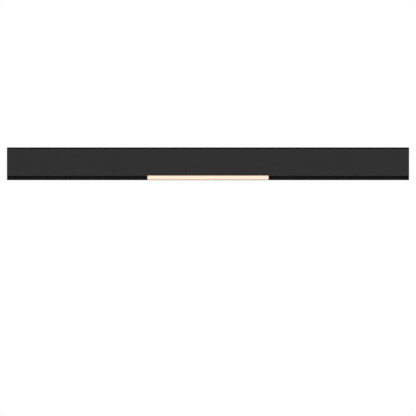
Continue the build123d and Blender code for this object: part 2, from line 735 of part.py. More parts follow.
# Converter board: on the ribs above the shelf
with BuildPart() as converter_board:
    with BuildSketch(Plane.XY.offset(converter_bottom)):
        Rectangle(converter_length, 2 * (module_inner - seat_gap))
    extrude(amount=board_thickness)
write(converter_board, "converter_board")

# Converter components: choke, switching chips and capacitors
component_height = (cavity_top - converter_top) * 0.8
with BuildPart() as converter_components:
    with BuildSketch(Plane.XY.offset(converter_top)):
        Rectangle(2 * component_height, 2 * component_height)
        with GridLocations(converter_length * 0.3, 1, 2, 1):
            Circle(0.7 * component_height)
        with GridLocations(converter_length * 0.8, 1, 2, 1):
            Rectangle(2 * component_height, component_height)
    extrude(amount=component_height)
write(converter_components, "converter_components")

# Diode leads: from the converter down through the shelf
with BuildPart() as led_leads:
    with BuildSketch(Plane.XY.offset(led_board_top)):
        with GridLocations(converter_length / 2, 1, 2, 1):
            Circle(fine_lead_radius)
    extrude(amount=converter_bottom - led_board_top)
write(led_leads, "led_leads")

# Adapter case: tray between the conductors with windows for the leaves and seats for the magnets
with BuildPart() as adapter_case:
    with BuildSketch(Plane.XY.offset(module_top)):
        RectangleRounded(adapter_length, 2 * adapter_half, adapter_wall)
    extrude(amount=adapter_case_top - module_top)
    with BuildSketch(Plane.XY.offset(module_top + adapter_wall)):
        Rectangle(adapter_length - 2 * adapter_wall, 2 * (adapter_half - adapter_wall))
    extrude(amount=adapter_case_top - module_top, mode=Mode.SUBTRACT)
    with BuildSketch(Plane.XY.offset(module_top)):
        with GridLocations(2 * magnet_x, 1, 2, 1):
            Rectangle(magnet_length, magnet_width)
    extrude(amount=magnet_bottom - module_top)
    for x, z in ((-contact_x, upper_z), (contact_x, lower_z)):
        with Locations((x, 0, z)):
            Box(2 * leaf_window, 3 * adapter_half, leaf_height + 4 * seat_gap, mode=Mode.SUBTRACT)
        for side in sides:
            with Locations((x + contact_lead_x, side * contact_lead_y, module_top + adapter_wall)):
                Hole(fine_lead_radius + 4 * seat_gap, depth=adapter_wall)
    with Locations((-magnet_x, 0, magnet_bottom), (magnet_x, 0, magnet_bottom)):
        with GridLocations(adapter_screw_spread, 1, 2, 1):
            Hole(adapter_shank + seat_gap, depth=magnet_bottom - module_top)
write(adapter_case, "adapter_case")

# Adapter lid: plate with a window for each magnet
with BuildPart() as adapter_lid:
    with BuildSketch(Plane.XY.offset(adapter_case_top)):
        RectangleRounded(adapter_length, 2 * adapter_half, adapter_wall)
        with GridLocations(2 * magnet_x, 1, 2, 1):
            Rectangle(magnet_length + 2 * seat_gap, magnet_width + 2 * seat_gap, mode=Mode.SUBTRACT)
    extrude(amount=adapter_lid_thickness)
write(adapter_lid, "adapter_lid")

# Magnets: stand on the case's seats and reach up between the keeper's lips
with BuildPart() as magnets:
    with BuildSketch(Plane.XY.offset(magnet_bottom)):
        with GridLocations(2 * magnet_x, 1, 2, 1):
            Rectangle(magnet_length, magnet_width)
    extrude(amount=magnet_height)
    chamfer(magnets.edges(), edge_chamfer)
write(magnets, "magnets")

# Adapter screws: from the module's cavity up into the magnet seats
with BuildPart() as adapter_screws:
    for x in (-magnet_x, magnet_x):
        for side in sides:
            screw(Plane((x + side * adapter_screw_spread / 2, 0, cavity_top), z_dir=(0, 0, -1)),
                  adapter_screw_head, adapter_shank, magnet_bottom - cavity_top - seat_gap, adapter_shank)
write(adapter_screws, "adapter_screws")

# Module contacts: supply leaves at one end, data leaves at the other
for x, z, name in ((-contact_x, upper_z, "supply_contacts"), (contact_x, lower_z, "data_contacts")):
    with BuildPart() as contacts:
        for side in sides:
            leaf(x, side, z)
    write(contacts, name)

# Contact leads: from the leaves' ends down to the converter board
with BuildPart() as contact_leads:
    for x, z in ((-contact_x, upper_z), (contact_x, lower_z)):
        with BuildSketch(Plane.XY.offset(converter_top)):
            with Locations((x + contact_lead_x, -contact_lead_y), (x + contact_lead_x, contact_lead_y)):
                Circle(fine_lead_radius)
        extrude(amount=z - converter_top)
write(contact_leads, "contact_leads")
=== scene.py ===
"""Looks of a black track light bar with one lit module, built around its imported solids."""

import json
import logging
import math
from collections.abc import Callable, Iterable
from dataclasses import dataclass
from enum import Enum
from typing import ClassVar

import bmesh
import bpy
from mathutils import Matrix, Vector


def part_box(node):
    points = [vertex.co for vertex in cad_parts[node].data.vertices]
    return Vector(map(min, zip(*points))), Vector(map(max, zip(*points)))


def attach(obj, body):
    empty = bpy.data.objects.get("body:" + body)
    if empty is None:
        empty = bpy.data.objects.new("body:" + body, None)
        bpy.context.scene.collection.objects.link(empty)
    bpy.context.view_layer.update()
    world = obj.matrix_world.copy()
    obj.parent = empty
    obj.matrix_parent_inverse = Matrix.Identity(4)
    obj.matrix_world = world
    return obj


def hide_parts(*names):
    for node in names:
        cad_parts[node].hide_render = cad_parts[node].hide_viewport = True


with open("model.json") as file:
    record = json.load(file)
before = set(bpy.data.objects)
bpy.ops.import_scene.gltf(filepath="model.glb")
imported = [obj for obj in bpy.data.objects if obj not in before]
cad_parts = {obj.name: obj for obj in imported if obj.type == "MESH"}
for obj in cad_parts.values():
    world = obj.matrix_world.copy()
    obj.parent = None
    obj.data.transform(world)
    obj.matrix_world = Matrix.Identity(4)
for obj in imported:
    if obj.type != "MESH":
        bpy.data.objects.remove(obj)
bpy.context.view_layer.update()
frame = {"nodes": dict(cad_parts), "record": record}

LOG = logging.getLogger("light_bar")
MM = 0.001  # Blender works in metres; sizes below are in millimetres unless they say metres
TRACK = "track"
MODULE = "light_module"
SLOT_OF = {row["node"]: row["material_slot"] for row in frame["record"]["subparts"]}
Triple = tuple[float, float, float]  # one value for each of X, Y and Z
Colour = tuple[float, float, float]
Outline = list[tuple[float, float]]  # heights and radii from top to bottom, metres
Shares = tuple[tuple[float, float], ...]  # an outline in shares of a piece's height and radius
Seat = tuple[Vector, Vector]  # where a screw's head bears and which way it looks
Socket = bpy.types.NodeSocket
Rule = Callable[[Vector, Vector], bool]
UP = Vector((0, 0, 1))
DOWN = Vector((0, 0, -1))
BOTH = (-1, 1)  # left and right, or front and back
CROSSWISE = (0.0, 90.0)  # turns of two bars that cross, degrees
ALIGNED = 0.9  # a direction with more than this along an axis counts as along it
MERGE = 1e-6  # points closer than this become one, metres
SHARP = 32.0  # edges that turn by more than this stay sharp, degrees


class Grain(Enum):
    """The fine pattern that a finish shows close up."""

    PEEL = "rounded ripple of a sprayed coat"
    MOULD = "sparked texture of a moulding tool"
    STREAK = "lines drawn along the bar"
    SPANGLE = "crystals of a plated surface"
    TRACES = "tracks and pads of a circuit board"
    BANDS = "two colours in turn along a lead"


class Bench:
    """The shader nodes of one material."""

    FINE_LAYERS = 3.0  # finer layers of a plain grain
    MOULD_LAYERS = 6.0  # and of a moulding's
    MOULD_STRENGTH = 0.7  # how strong the moulding's finer layers are
    TRACE_GAP = 0.05  # between a board's tracks, as a share of their size
    TRACE_EDGE = 0.2  # softness of that gap
    TRACE_TONES = (0.15, 0.45)  # values of the tracks, where the gap between them is 1
    BAND_WANDER = 0.3  # how far the bands of a lead stray
    BAND_LAYERS = 1.0

    def __init__(self, name: str) -> None:
        """Start a material with its plain shader.

        Args:
            name: the material's name.
        """
        self.material = bpy.data.materials.new(name)
        self.material.use_nodes = True
        self.tree = self.material.node_tree
        self.shader = next(n for n in self.tree.nodes if n.type == "BSDF_PRINCIPLED")

    def node(self, kind: str, **values: float | tuple) -> bpy.types.Node:
        """Add a node and set its plain inputs.

        Args:
            kind: the node's type without its common prefix.
            values: input values by input name.

        Returns:
            The new node.
        """
        made = self.tree.nodes.new("ShaderNode" + kind)
        for name, value in values.items():
            made.inputs[name].default_value = value
        return made

    def join(self, source: Socket, target: Socket) -> None:
        """Link one socket to another."""
        self.tree.links.new(source, target)

    def set(self, name: str, value: float | tuple) -> None:
        """Set a value that is the same all over the surface."""
        self.shader.inputs[name].default_value = value

    def feed(self, name: str, source: Socket) -> None:
        """Link a socket to one of the shader's inputs."""
        self.join(source, self.shader.inputs[name])

    def place(self, stretch: Triple) -> Socket:
        """Give object coordinates, drawn out along an axis where the stretch is small.

        Args:
            stretch: scale of the pattern along X, Y and Z.

        Returns:
            The vector socket.
        """
        where = self.node("TexCoord")
        mapping = self.node("Mapping", Scale=stretch)
        self.join(where.outputs["Object"], mapping.inputs["Vector"])
        return mapping.outputs[0]

    def noise(self, place: Socket, size: float, detail: float, roughness: float = 0.5) -> Socket:
        """Add a noise of a given size.

        Args:
            place: the vector that it reads.
            size: size of its lumps in millimetres.
            detail: how many finer layers it has.
            roughness: how strong the finer layers are.

        Returns:
            The value socket.
        """
        made = self.node("TexNoise", Scale=1 / (size * MM), Detail=detail, Roughness=roughness)
        self.join(place, made.inputs["Vector"])
        return made.outputs[0]

    def pattern(self, grain: Grain, place: Socket, size: float) -> Socket:
        """Add the fine pattern of a finish.

        Args:
            grain: which pattern.
            place: the vector that it reads.
            size: its size in millimetres.

        Returns:
            A value socket from 0 to 1.
        """
        scale = 1 / (size * MM)
        if grain is Grain.SPANGLE:
            cells = self.node("TexVoronoi", Scale=scale)
            self.join(place, cells.inputs["Vector"])
            split = self.node("SeparateColor")
            self.join(cells.outputs["Color"], split.inputs[0])
            return split.outputs[0]
        if grain is Grain.TRACES:
            bricks = self.node("TexBrick", Scale=scale, Mortar=(1, 1, 1, 1),
                               **{"Mortar Size": self.TRACE_GAP, "Mortar Smooth": self.TRACE_EDGE})
            for name, tone in zip(("Color1", "Color2"), self.TRACE_TONES):
                bricks.inputs[name].default_value = (tone, tone, tone, 1)
            self.join(place, bricks.inputs["Vector"])
            return bricks.outputs["Color"]
        if grain is Grain.BANDS:
            bands = self.node("TexWave", Scale=scale, Distortion=self.BAND_WANDER, Detail=self.BAND_LAYERS)
            bands.wave_profile = "SAW"
            self.join(place, bands.inputs["Vector"])
            return bands.outputs["Fac"]
        if grain is Grain.MOULD:
            return self.noise(place, size, self.MOULD_LAYERS, self.MOULD_STRENGTH)
        return self.noise(place, size, self.FINE_LAYERS)

    def ramp(self, value: Socket, *stops: tuple[float, Colour]) -> Socket:
        """Turn a value into a colour between two.

        Args:
            value: the value socket.
            stops: two places from 0 to 1 with the colour at each.

        Returns:
            The colour socket.
        """
        made = self.node("ValToRGB")
        for element, (at, colour) in zip(made.color_ramp.elements, stops):
            element.position = at
            element.color = (*colour, 1)
        self.join(value, made.inputs[0])
        return made.outputs[0]

    def blend(self, a: Socket, b: Socket, share: float) -> Socket:
        """Mix two patterns.

        Args:
            a: the first value socket.
            b: the second value socket.
            share: how much of the second one.

        Returns:
            The mixed value socket.
        """
        made = self.node("Mix")
        made.inputs[0].default_value = share
        self.join(a, made.inputs[2])
        self.join(b, made.inputs[3])
        return made.outputs[0]

    def span(self, value: Socket, low: float, high: float, start: float = 0.0, end: float = 1.0) -> Socket:
        """Move a value from one range to another.

        Args:
            value: the value socket.
            low: result at the start of the range.
            high: result at its end.
            start: where the value's range starts.
            end: where it ends.

        Returns:
            The moved value socket.
        """
        made = self.node("MapRange", **{"From Min": start, "From Max": end, "To Min": low, "To Max": high})
        self.join(value, made.inputs["Value"])
        return made.outputs[0]

    def relief(self, value: Socket, height: float) -> None:
        """Raise the surface by a pattern.

        Args:
            value: the value socket.
            height: height of the pattern in millimetres.
        """
        made = self.node("Bump", Distance=height * MM)
        self.join(value, made.inputs["Height"])
        self.feed("Normal", made.outputs[0])


@dataclass(frozen=True)
class Finish:
    """A surface: two close tones, a range of gloss and a fine grain, with slow clouds in the tone."""

    CLOUD_LAYERS: ClassVar[float] = 2.0
    TONE_START: ClassVar[float] = 0.3  # value of the pattern up to which the tone is dark
    TONE_END: ClassVar[float] = 0.7  # and from which it is light

    name: str
    dark: Colour
    light: Colour
    gloss: tuple[float, float]  # lowest and highest roughness
    grain: Grain = Grain.MOULD
    size: float = 0.6  # of the grain, millimetres
    height: float = 0.01  # of the grain, millimetres
    stretch: Triple = (1.0, 1.0, 1.0)  # of the pattern; small along the way it is drawn out
    metallic: float = 0.0
    specular: float = 0.5
    cloud: float = 60.0  # size of the slow change of tone, millimetres
    cloud_share: float = 0.35

    def material(self) -> bpy.types.Material:
        """Make the finish's material, the first time only.

        Returns:
            The material.
        """
        made = bpy.data.materials.get(self.name)
        if made is not None:
            return made
        bench = Bench(self.name)
        bench.set("Metallic", self.metallic)
        bench.set("Specular IOR Level", self.specular)
        place = bench.place(self.stretch)
        grain = bench.pattern(self.grain, place, self.size)
        self.tone(bench, place, grain)
        bench.feed("Roughness", bench.span(grain, *self.gloss))
        bench.relief(grain, self.height)
        return bench.material

    def tone(self, bench: Bench, place: Socket, grain: Socket) -> None:
        """Colour the surface between its two tones.

        Args:
            bench: the material's nodes.
            place: the vector of the pattern.
            grain: the fine pattern's value.
        """
        cloud = bench.noise(place, self.cloud, self.CLOUD_LAYERS)
        mixed = bench.blend(grain, cloud, self.cloud_share)
        tones = bench.ramp(mixed, (self.TONE_START, self.dark), (self.TONE_END, self.light))
        bench.feed("Base Color", tones)


@dataclass(frozen=True)
class OpalFinish(Finish):
    """A cover that is lit from inside, whiter along its middle than along its edges."""

    glow_edge: Colour = (1.0, 0.50, 0.27)
    glow_middle: Colour = (1.0, 0.60, 0.44)
    glow: float = 0.72
    half_width: float = 14.6  # of the cover, millimetres
    middle: float = 0.25  # share of the half width up to which the glow is the middle's
    edge: float = 0.95  # and from which it is the edge's

    def tone(self, bench: Bench, place: Socket, grain: Socket) -> None:
        """Colour the cover and add its glow.

        Args:
            bench: the material's nodes.
            place: the vector of the pattern.
            grain: the fine pattern's value.
        """
        super().tone(bench, place, grain)
        split = bench.node("SeparateXYZ")
        bench.join(place, split.inputs[0])
        across = bench.node("Math")
        across.operation = "ABSOLUTE"
        bench.join(split.outputs["Y"], across.inputs[0])
        share = bench.span(across.outputs[0], 0.0, 1.0, 0.0, self.half_width * MM)
        glow = bench.ramp(share, (self.middle, self.glow_middle), (self.edge, self.glow_edge))
        bench.feed("Emission Color", glow)
        bench.set("Emission Strength", self.glow)


ALONG = (0.02, 1.0, 1.0)  # pattern drawn out along the bar

FINISHES = {
    "black_coat": Finish("satin_black_coat", (0.0105, 0.0105, 0.0108), (0.0195, 0.0195, 0.0200), (0.50, 0.64),
                         Grain.PEEL, 0.9, 0.060, cloud=140.0, cloud_share=0.2),
    # matt black of the recessed rail; its tones are set darker than the coat's to paint the shade in the
    # shadow line above the housing
    "rail_black": Finish("matt_black_and_painted_shade", (0.0040, 0.0040, 0.0042), (0.0060, 0.0060, 0.0062), (0.68, 0.80),
                         Grain.PEEL, 0.5, 0.012, specular=0.18, cloud=140.0),
    "bare_aluminium": Finish("drawn_aluminium", (0.60, 0.61, 0.62), (0.78, 0.79, 0.80), (0.28, 0.46),
                             Grain.STREAK, 0.35, 0.006, ALONG, 1.0),
    "black_plastic": Finish("black_moulding", (0.0110, 0.0110, 0.0118), (0.0165, 0.0165, 0.0172),
                            (0.48, 0.62), Grain.MOULD, 0.5, 0.012),
    "grey_plastic": Finish("grey_profile", (0.26, 0.27, 0.28), (0.33, 0.34, 0.35), (0.38, 0.52),
                           Grain.STREAK, 0.5, 0.006, ALONG),
    "white_plastic": Finish("white_moulding", (0.72, 0.72, 0.69), (0.82, 0.82, 0.80), (0.34, 0.46),
                            Grain.MOULD, 0.6, 0.008),
    "opal": OpalFinish("lit_opal", (0.60, 0.56, 0.50), (0.68, 0.64, 0.58), (0.36, 0.46),
                       Grain.STREAK, 0.8, 0.004, ALONG),
    "copper": Finish("drawn_copper", (0.62, 0.30, 0.17), (0.84, 0.48, 0.31), (0.22, 0.40),
                     Grain.STREAK, 0.3, 0.004, ALONG, 1.0, cloud=25.0, cloud_share=0.55),
    "bronze": Finish("spring_bronze", (0.62, 0.43, 0.22), (0.80, 0.60, 0.36), (0.20, 0.34),
                     Grain.STREAK, 0.25, 0.003, (0.1, 1.0, 1.0), 1.0, cloud=8.0),
    "zinc_steel": Finish("zinc_plate", (0.46, 0.47, 0.49), (0.66, 0.67, 0.68), (0.26, 0.42),
                         Grain.SPANGLE, 1.6, 0.002, metallic=1.0, cloud=12.0),
    "black_steel": Finish("black_oxide", (0.018, 0.018, 0.019), (0.040, 0.040, 0.042), (0.30, 0.48),
                          Grain.MOULD, 0.3, 0.004, metallic=0.6, cloud=4.0),
    "nickel": Finish("nickel_plate", (0.66, 0.64, 0.60), (0.78, 0.76, 0.72), (0.10, 0.22),
                     Grain.PEEL, 0.8, 0.002, metallic=1.0, cloud=10.0),
    "rubber": Finish("black_rubber", (0.0090, 0.0090, 0.0095), (0.0190, 0.0190, 0.0195), (0.70, 0.86),
                     Grain.MOULD, 0.4, 0.015, specular=0.3),
    "white_board": Finish("white_board_mask", (0.74, 0.74, 0.72), (0.88, 0.88, 0.86), (0.22, 0.34),
                          Grain.TRACES, 7.0, 0.02, cloud_share=0.1),
    "green_board": Finish("green_board_mask", (0.012, 0.105, 0.045), (0.060, 0.290, 0.130), (0.20, 0.32),
                          Grain.TRACES, 5.0, 0.02, cloud_share=0.1),
    "diode": Finish("diode_phosphor", (0.82, 0.56, 0.10), (0.95, 0.74, 0.22), (0.24, 0.36),
                    Grain.MOULD, 0.15, 0.004, cloud=2.0),
    "black_parts": Finish("black_component", (0.0120, 0.0120, 0.0130), (0.0230, 0.0230, 0.0245), (0.24, 0.38),
                          Grain.MOULD, 0.3, 0.006, cloud=6.0),
    "brown_wire": Finish("brown_insulation", (0.130, 0.050, 0.020), (0.210, 0.090, 0.038), (0.30, 0.44),
                         Grain.MOULD, 0.4, 0.004, cloud=15.0),
    "red_wire": Finish("red_insulation", (0.380, 0.020, 0.018), (0.540, 0.040, 0.034), (0.30, 0.44),
                       Grain.MOULD, 0.4, 0.004, cloud=15.0),
    "earth_wire": Finish("green_and_yellow_insulation", (0.035, 0.260, 0.040), (0.780, 0.640, 0.030),
                         (0.30, 0.44), Grain.BANDS, 20.0, 0.002, (1.0, 0.35, 0.35), cloud_share=0.05),
}
WINDING = Finish("enamelled_winding", (0.24, 0.080, 0.026), (0.52, 0.220, 0.080), (0.20, 0.34),
                 Grain.STREAK, 0.35, 0.05, (0.05, 1.0, 1.0), 0.7, cloud=5.0)
SLEEVE = Finish("blue_sleeve", (0.010, 0.018, 0.055), (0.020, 0.036, 0.095), (0.18, 0.28),
                Grain.MOULD, 0.4, 0.003, cloud=4.0)
FLOOR = Finish("pale_floor", (0.84, 0.84, 0.84), (0.88, 0.88, 0.88), (0.7, 0.8),
               Grain.MOULD, 3.0, 0.01, cloud=900.0)


def deselect() -> None:
    """Leave edit mode with nothing selected."""
    if bpy.context.object is not None and bpy.context.object.mode != "OBJECT":
        bpy.ops.object.mode_set(mode="OBJECT")
    bpy.ops.object.select_all(action="DESELECT")


def edit() -> bpy.types.Object:
    """Open the active piece in edit mode, all of it selected.

    Returns:
        The open piece.
    """
    bpy.ops.object.mode_set(mode="EDIT")
    bpy.ops.mesh.select_all(action="SELECT")
    return bpy.context.object


def pick(piece: bpy.types.Object, faces: Rule | None = None, edges: Rule | None = None) -> None:
    """Select faces or edges of a piece in edit mode.

    Args:
        piece: the piece that is open.
        faces: tells from a face's centre and normal whether it is wanted.
        edges: tells from an edge's middle and direction whether it is wanted.
    """
    bpy.ops.mesh.select_all(action="DESELECT")
    bpy.ops.mesh.select_mode(type="FACE" if faces else "EDGE")
    mesh = bmesh.from_edit_mesh(piece.data)
    for face in mesh.faces if faces else ():
        face.select_set(faces(face.calc_center_median(), face.normal))
    for line in mesh.edges if edges else ():
        a, b = (vertex.co for vertex in line.verts)
        line.select_set(edges((a + b) / 2, (b - a).normalized()))
    bmesh.update_edit_mesh(piece.data)


def block(middle: Vector, size: Vector) -> bpy.types.Object:
    """Add a box open in edit mode, with its place in its mesh.

    Args:
        middle: its middle, metres.
        size: its three sides, metres.

    Returns:
        The box.
    """
    deselect()
    bpy.ops.mesh.primitive_cube_add(size=1)
    piece = edit()
    bpy.ops.transform.resize(value=size)
    bpy.ops.transform.translate(value=middle)
    return piece


def turned(profile: Outline, sides: int = 24) -> bpy.types.Object:
    """Turn a piece about Z from the top of a profile to its bottom, left open in edit mode.

    Args:
        profile: heights and radii from top to bottom, metres.
        sides: how many sides its rounds have.

    Returns:
        The turned piece.
    """
    deselect()
    (top, radius), *rest = profile
    bpy.ops.mesh.primitive_circle_add(vertices=sides, radius=radius, fill_type="NGON")
    piece = edit()
    bpy.ops.transform.translate(value=(0, 0, top))
    for height, width in rest:
        bpy.ops.mesh.extrude_region_move(TRANSFORM_OT_translate={"value": (0, 0, height - top)})
        grow = width / radius
        bpy.ops.transform.resize(value=(grow, grow, 1), center_override=(0, 0, 0))
        top, radius = height, width
    return piece


def tidy(piece: bpy.types.Object) -> None:
    """Close a piece's mesh, turn its faces outwards and smooth its rounds.

    Args:
        piece: the piece, open in edit mode.
    """
    bpy.ops.mesh.select_all(action="SELECT")
    bpy.ops.mesh.remove_doubles(threshold=MERGE)
    bpy.ops.mesh.normals_make_consistent(inside=False)
    deselect()
    piece.select_set(True)
    bpy.context.view_layer.objects.active = piece
    bpy.ops.object.shade_smooth_by_angle(angle=math.radians(SHARP))


def carve(piece: bpy.types.Object, cutter: bpy.types.Object) -> None:
    """Cut one closed piece out of another and throw the cutter away.

    Args:
        piece: the piece that is cut, in object mode.
        cutter: the piece that is taken out of it.
    """
    deselect()
    bpy.context.view_layer.objects.active = piece
    cut = piece.modifiers.new("recess", "BOOLEAN")
    cut.operation = "DIFFERENCE"
    cut.solver = "EXACT"
    cut.object = cutter
    bpy.ops.object.modifier_apply(modifier=cut.name)
    bpy.data.objects.remove(cutter)


def repeat(master: bpy.types.Object, places: Iterable[Matrix]) -> list[bpy.types.Object]:
    """Copy a finished master to several places, each copy with its own mesh, and drop the master.

    Args:
        master: the piece, made about the origin.
        places: where each copy goes.

    Returns:
        The copies.
    """
    copies = []
    for place in places:
        twin = master.copy()
        twin.data = master.data.copy()
        twin.data.transform(place)
        bpy.context.scene.collection.objects.link(twin)
        copies.append(twin)
    bpy.data.objects.remove(master)
    return copies


def pair(master: bpy.types.Object, middle: float, apart: float, foot: float) -> list[bpy.types.Object]:
    """Set a finished master to the left and to the right of a middle, and drop the master.

    Args:
        master: the piece, standing on z = 0.
        middle: between the two along the bar, metres.
        apart: from one to the other, metres.
        foot: the height that they stand on, metres.

    Returns:
        The two copies.
    """
    return repeat(master, [Matrix.Translation((middle + end * apart / 2, 0, foot)) for end in BOTH])


def unite(name: str, pieces: list[bpy.types.Object]) -> bpy.types.Object:
    """Join pieces to one object.

    Args:
        name: the object's name.
        pieces: what goes into it.

    Returns:
        The object, at the origin.
    """
    deselect()
    for piece in pieces:
        piece.select_set(True)
    bpy.context.view_layer.objects.active = pieces[0]
    if len(pieces) > 1:
        bpy.ops.object.join()
    whole = bpy.context.view_layer.objects.active
    whole.name = whole.data.name = name
    return whole


def facing(seat: Vector, out: Vector) -> Matrix:
    """Return the place of a piece made along Z that sits at a seat and looks out along a direction."""
    return Matrix.Translation(seat) @ out.to_track_quat("Z", "Y").to_matrix().to_4x4()


def paint(piece: bpy.types.Object, *finishes: Finish) -> None:
    """Give a new piece its materials.

    Args:
        piece: the new piece.
        finishes: in the order of its faces' material numbers.
    """
    piece.data.materials.clear()
    for finish in finishes:
        piece.data.materials.append(finish.material())


def settle(piece: bpy.types.Object, body: str, *nodes: str) -> None:
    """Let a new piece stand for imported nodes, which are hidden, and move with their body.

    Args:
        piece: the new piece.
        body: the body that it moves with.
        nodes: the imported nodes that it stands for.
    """
    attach(piece, body)
    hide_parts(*nodes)
    LOG.info("built %s for %s, %d faces", piece.name, ", ".join(nodes), len(piece.data.polygons))


class Drive(Enum):
    """The recess that a driver goes into."""

    HEXAGON = "six-sided socket"
    CROSS = "crossed slots"
    SLOT = "one slot"


@dataclass(frozen=True)
class ScrewSize:
    """Sizes of one kind of screw, millimetres, where DOME is the outline of a raised head."""

    DOME: ClassVar[Shares] = ((1.0, 0.70), (0.85, 0.86), (0.5, 0.985), (0.4, 1.0), (0.0, 1.0))
    RIM: ClassVar[float] = 0.06  # edge of a flat head, as a share of its radius
    ROOT: ClassVar[float] = 0.84  # of the thread, as a share of the shank
    ROOT_ENDS: ClassVar[tuple[float, float]] = (0.35, 0.55)  # along one turn, as shares of the pitch
    CREST: ClassVar[float] = 0.9  # start of the next crest, as a share of the pitch
    TIP: ClassVar[float] = 0.5  # length of the tip, as a share of the shank
    POINT: ClassVar[float] = 0.45  # radius at its end, as a share of the shank

    head: float  # radius
    shank: float  # radius
    length: float  # below the seat
    head_height: float = 0.0  # above the seat; without one the head is countersunk
    drive: Drive = Drive.CROSS
    pitch: float = 0.7  # of its thread

    def profile(self) -> Outline:
        """Work out the outline from the top of the head to the tip.

        Returns:
            Heights and radii, metres.
        """
        rim = self.RIM * self.head
        tip = self.TIP * self.shank
        start = 0.0 if self.head_height else self.head - self.shank
        if self.head_height:
            steps = [(height * self.head_height, radius * self.head) for height, radius in self.DOME]
            steps.append((0.0, self.shank))
        elif start:
            steps = [(0.0, self.head - rim), (-rim, self.head - rim), (-start, self.shank)]
        else:
            steps = [(0.0, self.shank - rim), (-rim, self.shank)]
        turns = int((self.length - start - tip) / self.pitch)
        for turn in range(max(turns, 0)):
            depth = -start - turn * self.pitch
            steps += [(depth - share * self.pitch, self.ROOT * self.shank) for share in self.ROOT_ENDS]
            steps.append((depth - self.CREST * self.pitch, self.shank))
        steps += [(tip - self.length, self.shank), (-self.length, self.POINT * self.shank)]
        return [(height * MM, radius * MM) for height, radius in steps]


@dataclass
class ScrewSet:
    """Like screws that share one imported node; shares are of the head's radius."""

    DEPTH: ClassVar[dict[Drive, float]] = {Drive.HEXAGON: 0.55, Drive.CROSS: 0.55, Drive.SLOT: 0.35}
    REACH: ClassVar[dict[Drive, float]] = {Drive.CROSS: 1.2, Drive.SLOT: 2.4}  # length of a slot
    SLOT_WIDTH: ClassVar[float] = 0.26
    SLOT_TAPER: ClassVar[Triple] = (0.6, 0.7, 1)  # its bottom against its mouth
    SOCKET: ClassVar[float] = 0.5  # from the middle of a six-sided socket to its corners
    CONE: ClassVar[float] = 0.05  # radius at the end of the cone under the socket
    CONE_DEPTH: ClassVar[float] = 1.3  # of that end, against the socket's depth

    name: str
    node: str
    body: str
    size: ScrewSize
    seats: list[Seat]

    def recess(self) -> list[bpy.types.Object]:
        """Make what is cut out of the head for the driver.

        Returns:
            The cutters.
        """
        drive, head, top = self.size.drive, self.size.head * MM, self.size.head_height * MM
        depth = self.DEPTH[drive] * head
        if drive is Drive.HEXAGON:
            corner = self.SOCKET * head
            socket = turned([(top + depth, corner), (top - depth, corner),
                             (top - self.CONE_DEPTH * depth, self.CONE * head)], 6)
            tidy(socket)
            return [socket]
        cutters = []
        for turn in CROSSWISE if drive is Drive.CROSS else (0.0,):
            size = Vector((self.REACH[drive] * head, self.SLOT_WIDTH * head, 2 * depth))
            bar = block(Vector((0, 0, top)), size)
            pick(bar, faces=lambda middle, normal: normal.z < -ALIGNED)
            bpy.ops.transform.resize(value=self.SLOT_TAPER)
            tidy(bar)
            bar.data.transform(Matrix.Rotation(math.radians(turn), 4, "Z"))
            cutters.append(bar)
        return cutters

    def build(self) -> None:
        """Turn one screw, cut its recess and set it into every seat."""
        screw = turned(self.size.profile())
        tidy(screw)
        for cutter in self.recess():
            carve(screw, cutter)
        screws = repeat(screw, [facing(seat, out) for seat, out in self.seats])
        whole = unite(self.name, screws)
        edit()
        tidy(whole)
        paint(whole, FINISHES[SLOT_OF[self.node]])
        settle(whole, self.body, self.node)


def end_seats(box: tuple[Vector, Vector], size: ScrewSize) -> list[Seat]:
    """Find the seats of four screws that look out of both ends, two side by side at each.

    Args:
        box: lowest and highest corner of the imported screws.
        size: their size.

    Returns:
        The four seats.
    """
    low, high = box
    y, z = high.y - size.head * MM, (low.z + high.z) / 2
    return [(Vector((end * high.x, side * y, z)), Vector((end, 0, 0))) for end in BOTH for side in BOTH]


@dataclass
class SubAssembly:
    """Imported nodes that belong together."""

    nodes: tuple[str, ...] = ()
    body: str = TRACK

    def dress(self) -> None:
        """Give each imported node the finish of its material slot."""
        for node in self.nodes:
            piece = frame["nodes"][node]
            for slot in piece.material_slots:
                slot.material = FINISHES[SLOT_OF[node]].material()
            LOG.info("dressed %s as %s", node, FINISHES[SLOT_OF[node]].name)

    def build(self) -> None:
        """Build the new pieces of the group, where it has any."""


